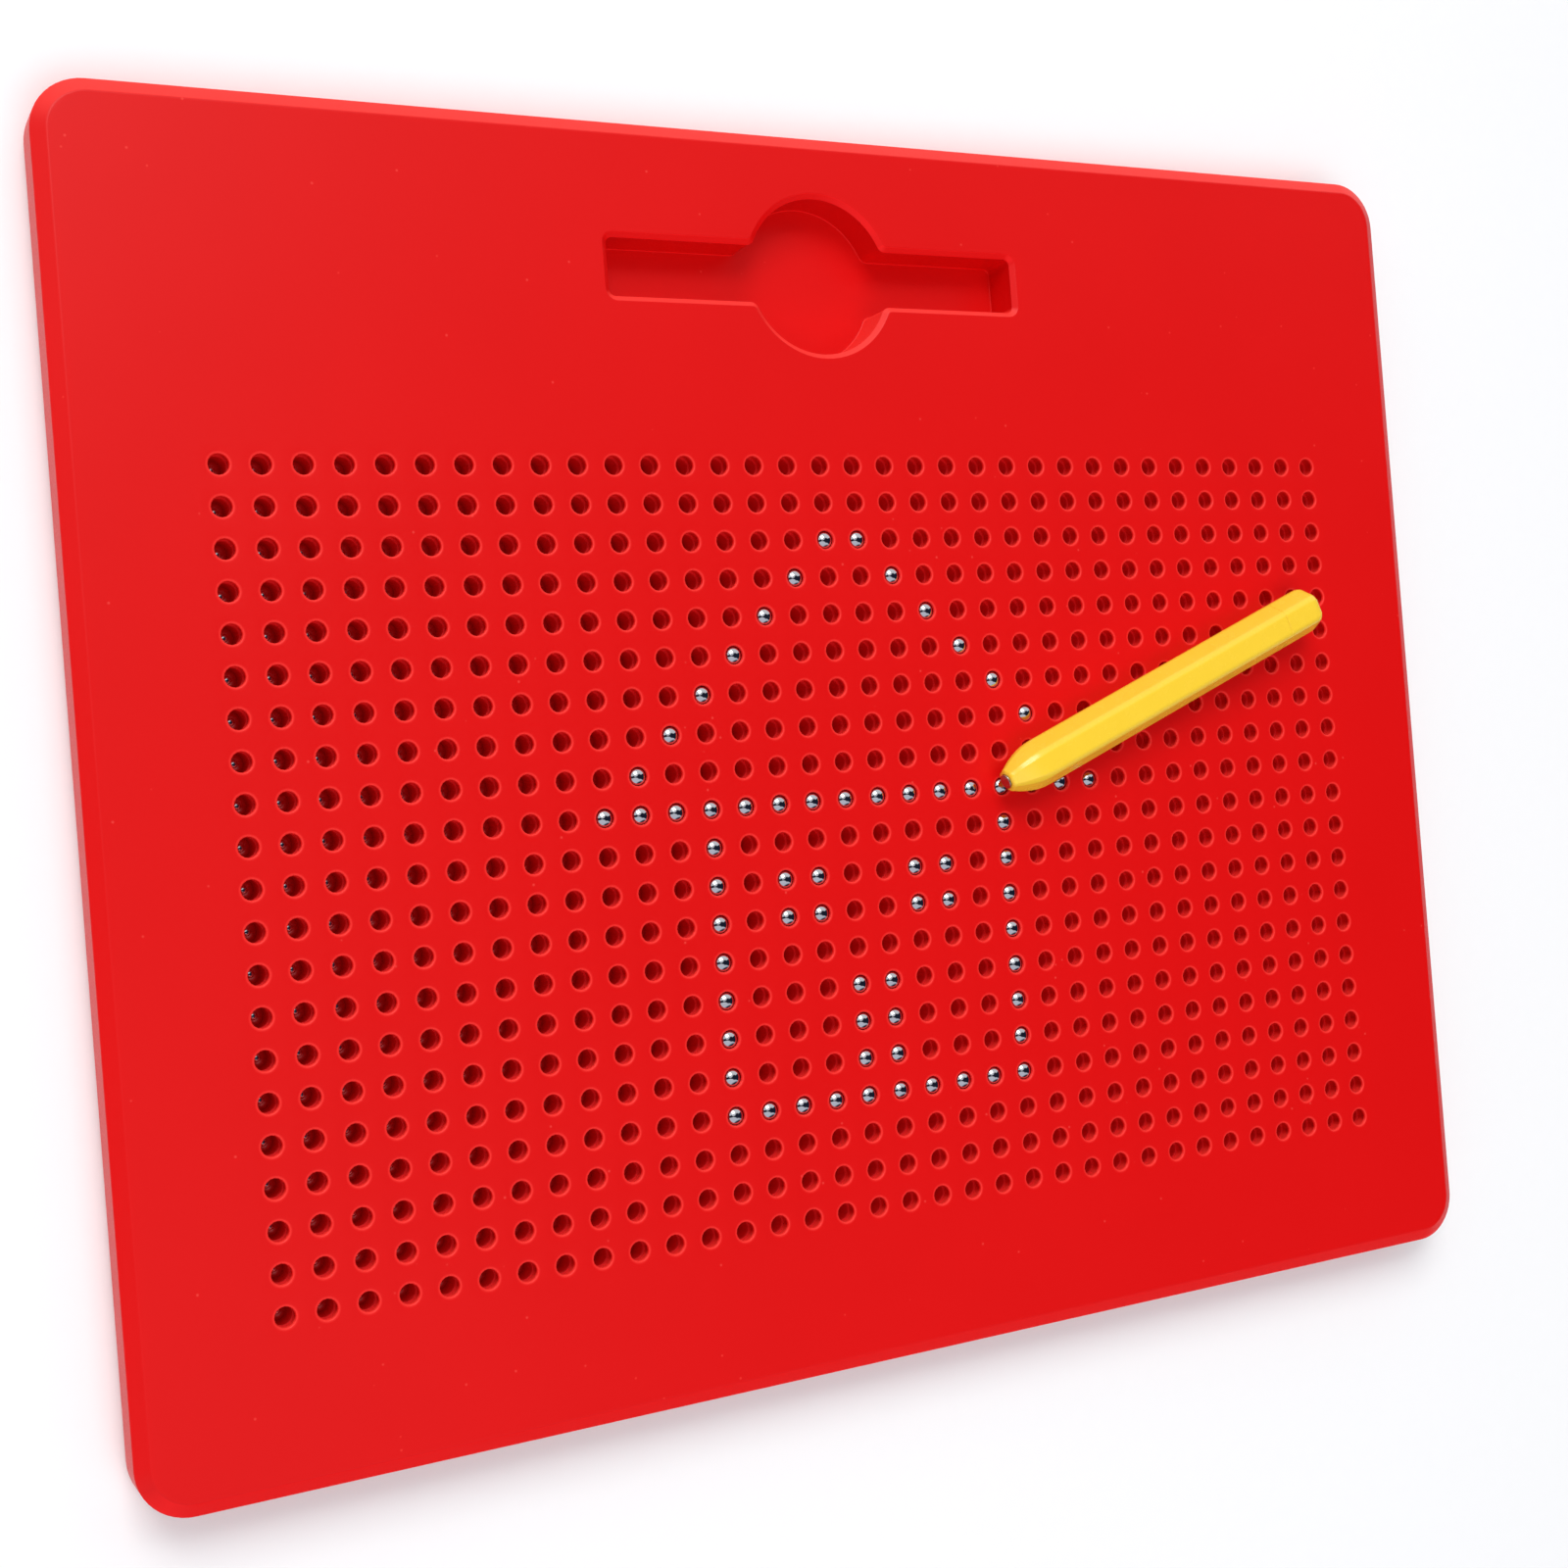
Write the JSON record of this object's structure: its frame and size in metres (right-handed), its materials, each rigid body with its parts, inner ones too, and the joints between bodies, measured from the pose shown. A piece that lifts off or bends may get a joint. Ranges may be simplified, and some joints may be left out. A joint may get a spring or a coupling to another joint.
{
  "type": "magnetic ball drawing board",
  "caption": "Flat drawing board with a square grid of captive steel balls that a magnetic stylus draws up into round holes, and a tray for the stylus.",
  "frame": {"origin": "centre of the underside, which rests on the table", "axes": "+X across the board, +Y towards the end with the stylus tray, +Z out of the drawing face"},
  "size_m": [0.322, 0.265, 0.0234],
  "materials": {
    "red_face": "satin moulded",
    "red_back": "fine spark-eroded texture",
    "red_wells": "moulded",
    "red_rubber": "smooth",
    "ball_steel": "polished bearing balls",
    "screw_steel": "zinc plated",
    "yellow_plastic": "moulded, glossy",
    "magnet_nickel": "nickel plated"
  },
  "bodies": {
    "board": {"front_panel": "red_face", "rear_cover": "red_back", "well_plate": "red_wells", "retaining_sheet": "red_rubber", "cover_screws": "screw_steel"},
    "stylus": {"stylus_barrel": "yellow_plastic", "stylus_magnet": "magnet_nickel", "stylus_end_cap": "yellow_plastic"},
    "ridge": {"ridge_balls": "ball_steel"},
    "roof_left": {"roof_left_balls": "ball_steel"},
    "roof_right": {"roof_right_balls": "ball_steel"},
    "eaves": {"eaves_balls": "ball_steel"},
    "wall_left": {"wall_left_balls": "ball_steel"},
    "wall_right": {"wall_right_balls": "ball_steel"},
    "floor": {"floor_balls": "ball_steel"},
    "window_left": {"window_left_balls": "ball_steel"},
    "window_right": {"window_right_balls": "ball_steel"},
    "door": {"door_balls": "ball_steel"},
    "row_01": {"row_01_balls": "ball_steel"},
    "row_02": {"row_02_balls": "ball_steel"},
    "row_03": {"row_03_balls": "ball_steel"},
    "row_04": {"row_04_balls": "ball_steel"},
    "row_05": {"row_05_balls": "ball_steel"},
    "row_06": {"row_06_balls": "ball_steel"},
    "row_07": {"row_07_balls": "ball_steel"},
    "row_08": {"row_08_balls": "ball_steel"},
    "row_09": {"row_09_balls": "ball_steel"},
    "row_10": {"row_10_balls": "ball_steel"},
    "row_11": {"row_11_balls": "ball_steel"},
    "row_12": {"row_12_balls": "ball_steel"},
    "row_13": {"row_13_balls": "ball_steel"},
    "row_14": {"row_14_balls": "ball_steel"},
    "row_15": {"row_15_balls": "ball_steel"},
    "row_16": {"row_16_balls": "ball_steel"},
    "row_17": {"row_17_balls": "ball_steel"},
    "row_18": {"row_18_balls": "ball_steel"},
    "row_19": {"row_19_balls": "ball_steel"},
    "row_20": {"row_20_balls": "ball_steel"},
    "row_21": {"row_21_balls": "ball_steel"}
  },
  "joints": [
    {"name": "stylus_lift", "type": "slide", "parent": "board", "child": "stylus", "axis": [0, 0, 1], "range_m": [0, 0.06]},
    {"name": "ridge_press", "type": "slide", "parent": "board", "child": "ridge", "axis": [0, 0, 1], "range_m": [-0.00665, 0], "deforming": ["retaining_sheet"]},
    {"name": "roof_left_press", "type": "slide", "parent": "board", "child": "roof_left", "axis": [0, 0, 1], "range_m": [-0.00665, 0], "deforming": ["retaining_sheet"]},
    {"name": "roof_right_press", "type": "slide", "parent": "board", "child": "roof_right", "axis": [0, 0, 1], "range_m": [-0.00665, 0], "deforming": ["retaining_sheet"]},
    {"name": "eaves_press", "type": "slide", "parent": "board", "child": "eaves", "axis": [0, 0, 1], "range_m": [-0.00665, 0], "deforming": ["retaining_sheet"]},
    {"name": "wall_left_press", "type": "slide", "parent": "board", "child": "wall_left", "axis": [0, 0, 1], "range_m": [-0.00665, 0], "deforming": ["retaining_sheet"]},
    {"name": "wall_right_press", "type": "slide", "parent": "board", "child": "wall_right", "axis": [0, 0, 1], "range_m": [-0.00665, 0], "deforming": ["retaining_sheet"]},
    {"name": "floor_press", "type": "slide", "parent": "board", "child": "floor", "axis": [0, 0, 1], "range_m": [-0.00665, 0], "deforming": ["retaining_sheet"]},
    {"name": "window_left_press", "type": "slide", "parent": "board", "child": "window_left", "axis": [0, 0, 1], "range_m": [-0.00665, 0], "deforming": ["retaining_sheet"]},
    {"name": "window_right_press", "type": "slide", "parent": "board", "child": "window_right", "axis": [0, 0, 1], "range_m": [-0.00665, 0], "deforming": ["retaining_sheet"]},
    {"name": "door_press", "type": "slide", "parent": "board", "child": "door", "axis": [0, 0, 1], "range_m": [-0.00665, 0], "deforming": ["retaining_sheet"]},
    {"name": "row_01_draw", "type": "slide", "parent": "board", "child": "row_01", "axis": [0, 0, 1], "range_m": [0, 0.00665], "deforming": ["retaining_sheet"]},
    {"name": "row_02_draw", "type": "slide", "parent": "board", "child": "row_02", "axis": [0, 0, 1], "range_m": [0, 0.00665], "deforming": ["retaining_sheet"]},
    {"name": "row_03_draw", "type": "slide", "parent": "board", "child": "row_03", "axis": [0, 0, 1], "range_m": [0, 0.00665], "deforming": ["retaining_sheet"]},
    {"name": "row_04_draw", "type": "slide", "parent": "board", "child": "row_04", "axis": [0, 0, 1], "range_m": [0, 0.00665], "deforming": ["retaining_sheet"]},
    {"name": "row_05_draw", "type": "slide", "parent": "board", "child": "row_05", "axis": [0, 0, 1], "range_m": [0, 0.00665], "deforming": ["retaining_sheet"]},
    {"name": "row_06_draw", "type": "slide", "parent": "board", "child": "row_06", "axis": [0, 0, 1], "range_m": [0, 0.00665], "deforming": ["retaining_sheet"]},
    {"name": "row_07_draw", "type": "slide", "parent": "board", "child": "row_07", "axis": [0, 0, 1], "range_m": [0, 0.00665], "deforming": ["retaining_sheet"]},
    {"name": "row_08_draw", "type": "slide", "parent": "board", "child": "row_08", "axis": [0, 0, 1], "range_m": [0, 0.00665], "deforming": ["retaining_sheet"]},
    {"name": "row_09_draw", "type": "slide", "parent": "board", "child": "row_09", "axis": [0, 0, 1], "range_m": [0, 0.00665], "deforming": ["retaining_sheet"]},
    {"name": "row_10_draw", "type": "slide", "parent": "board", "child": "row_10", "axis": [0, 0, 1], "range_m": [0, 0.00665], "deforming": ["retaining_sheet"]},
    {"name": "row_11_draw", "type": "slide", "parent": "board", "child": "row_11", "axis": [0, 0, 1], "range_m": [0, 0.00665], "deforming": ["retaining_sheet"]},
    {"name": "row_12_draw", "type": "slide", "parent": "board", "child": "row_12", "axis": [0, 0, 1], "range_m": [0, 0.00665], "deforming": ["retaining_sheet"]},
    {"name": "row_13_draw", "type": "slide", "parent": "board", "child": "row_13", "axis": [0, 0, 1], "range_m": [0, 0.00665], "deforming": ["retaining_sheet"]},
    {"name": "row_14_draw", "type": "slide", "parent": "board", "child": "row_14", "axis": [0, 0, 1], "range_m": [0, 0.00665], "deforming": ["retaining_sheet"]},
    {"name": "row_15_draw", "type": "slide", "parent": "board", "child": "row_15", "axis": [0, 0, 1], "range_m": [0, 0.00665], "deforming": ["retaining_sheet"]},
    {"name": "row_16_draw", "type": "slide", "parent": "board", "child": "row_16", "axis": [0, 0, 1], "range_m": [0, 0.00665], "deforming": ["retaining_sheet"]},
    {"name": "row_17_draw", "type": "slide", "parent": "board", "child": "row_17", "axis": [0, 0, 1], "range_m": [0, 0.00665], "deforming": ["retaining_sheet"]},
    {"name": "row_18_draw", "type": "slide", "parent": "board", "child": "row_18", "axis": [0, 0, 1], "range_m": [0, 0.00665], "deforming": ["retaining_sheet"]},
    {"name": "row_19_draw", "type": "slide", "parent": "board", "child": "row_19", "axis": [0, 0, 1], "range_m": [0, 0.00665], "deforming": ["retaining_sheet"]},
    {"name": "row_20_draw", "type": "slide", "parent": "board", "child": "row_20", "axis": [0, 0, 1], "range_m": [0, 0.00665], "deforming": ["retaining_sheet"]},
    {"name": "row_21_draw", "type": "slide", "parent": "board", "child": "row_21", "axis": [0, 0, 1], "range_m": [0, 0.00665], "deforming": ["retaining_sheet"]}
  ]
}
